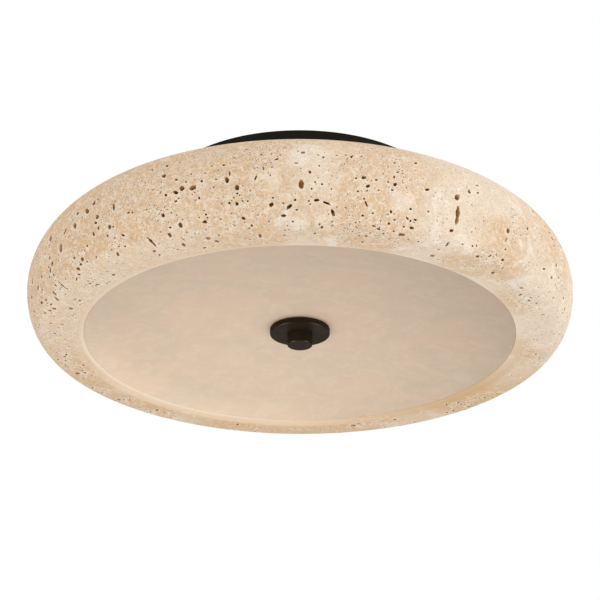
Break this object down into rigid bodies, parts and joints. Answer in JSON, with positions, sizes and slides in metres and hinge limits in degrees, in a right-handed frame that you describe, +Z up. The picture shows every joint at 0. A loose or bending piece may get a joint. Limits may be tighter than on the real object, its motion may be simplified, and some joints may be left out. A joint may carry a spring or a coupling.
{
  "type": "flush ceiling light",
  "caption": "Round flush ceiling light: a turned stone ring shade under a canopy pan, closed by a dished opal diffuser that a screwed finial holds on a centre rod.",
  "frame": {"origin": "on the ceiling plane, on the lamp's axis, midway between the crossbar's two slots", "axes": "+Z up into the ceiling, along the lamp's axis; X along the crossbar"},
  "size_m": [0.457, 0.457, 0.1409],
  "materials": {
    "travertine": "honed, unfilled, open pits",
    "opal_acrylic": "matte, softly clouded like alabaster",
    "black_enamel": "satin black paint",
    "dark_bronze": "satin dark bronze",
    "white_enamel": "white reflector enamel",
    "zinc_steel": "bright zinc plate",
    "green_screw": "green passivated",
    "brass": "plain brass",
    "nickel": "nickel plate",
    "porcelain": "unglazed white",
    "opal_bulb": "opal white",
    "white_nylon": "matte",
    "silicone": "translucent grey silicone",
    "lead_sleeve": "white woven heat sleeve",
    "foam_rubber": "closed-cell foam",
    "felt": "pressed felt"
  },
  "bodies": {
    "fixture": {"ceiling_crossbar": "zinc_steel", "ground_screw": "green_screw", "hanger_studs": "zinc_steel", "stud_lock_nuts": "zinc_steel", "hanger_washers": "zinc_steel", "hanger_nuts": "zinc_steel", "canopy_pan": "black_enamel", "canopy_gasket": "foam_rubber", "stone_shade": "travertine", "tray_gasket": "felt", "lamp_tray": "white_enamel", "clamp_bolts": "zinc_steel", "clamp_spacers": "zinc_steel", "clamp_nuts": "zinc_steel", "centre_rod": "zinc_steel", "rod_washers": "zinc_steel", "rod_nuts": "brass", "stop_washer": "silicone", "stop_nut": "brass", "diffuser_gasket": "felt", "lampholder_1": "porcelain", "lampholder_2": "porcelain", "lampholder_3": "porcelain", "lampholder_bracket_1": "zinc_steel", "lampholder_bracket_2": "zinc_steel", "lampholder_bracket_3": "zinc_steel", "spigot_nuts": "brass", "bracket_screws": "zinc_steel", "terminal_block": "white_nylon", "terminal_screws": "brass", "ear_screws": "zinc_steel", "tray_grommets": "silicone", "pan_grommets": "silicone", "lamp_lead_1": "lead_sleeve", "lamp_lead_2": "lead_sleeve", "lamp_lead_3": "lead_sleeve"},
    "diffuser": {"diffuser": "opal_acrylic"},
    "finial_disc": {"finial_washer": "silicone", "finial_disc": "dark_bronze"},
    "finial_knob": {"finial_knob": "dark_bronze"},
    "bulb_1": {"bulb_1_cap": "nickel", "bulb_1_globe": "opal_bulb"},
    "bulb_2": {"bulb_2_cap": "nickel", "bulb_2_globe": "opal_bulb"},
    "bulb_3": {"bulb_3_cap": "nickel", "bulb_3_globe": "opal_bulb"}
  },
  "joints": [
    {"name": "diffuser_drop", "type": "slide", "parent": "fixture", "child": "diffuser", "axis": [0, 0, -1], "range_m": [0, 0.08]},
    {"name": "finial_drop", "type": "slide", "parent": "diffuser", "child": "finial_disc", "axis": [0, 0, -1], "range_m": [0, 0.007]},
    {"name": "knob_turn", "type": "hinge", "parent": "finial_disc", "child": "finial_knob", "pos_m": [0, 0, -0.1356], "axis": [0, 0, -1], "range_deg": [0, 2521]},
    {"name": "bulb_1_pull", "type": "slide", "parent": "fixture", "child": "bulb_1", "axis": [0, 1, 0], "range_m": [0, 0.026]},
    {"name": "bulb_2_pull", "type": "slide", "parent": "fixture", "child": "bulb_2", "axis": [-0.866, -0.5, 0], "range_m": [0, 0.026]},
    {"name": "bulb_3_pull", "type": "slide", "parent": "fixture", "child": "bulb_3", "axis": [0.866, -0.5, 0], "range_m": [0, 0.026]}
  ],
  "couplings": [
    {"joint": "knob_turn", "follows": "finial_drop", "rad_per_m": 6283.2}
  ]
}
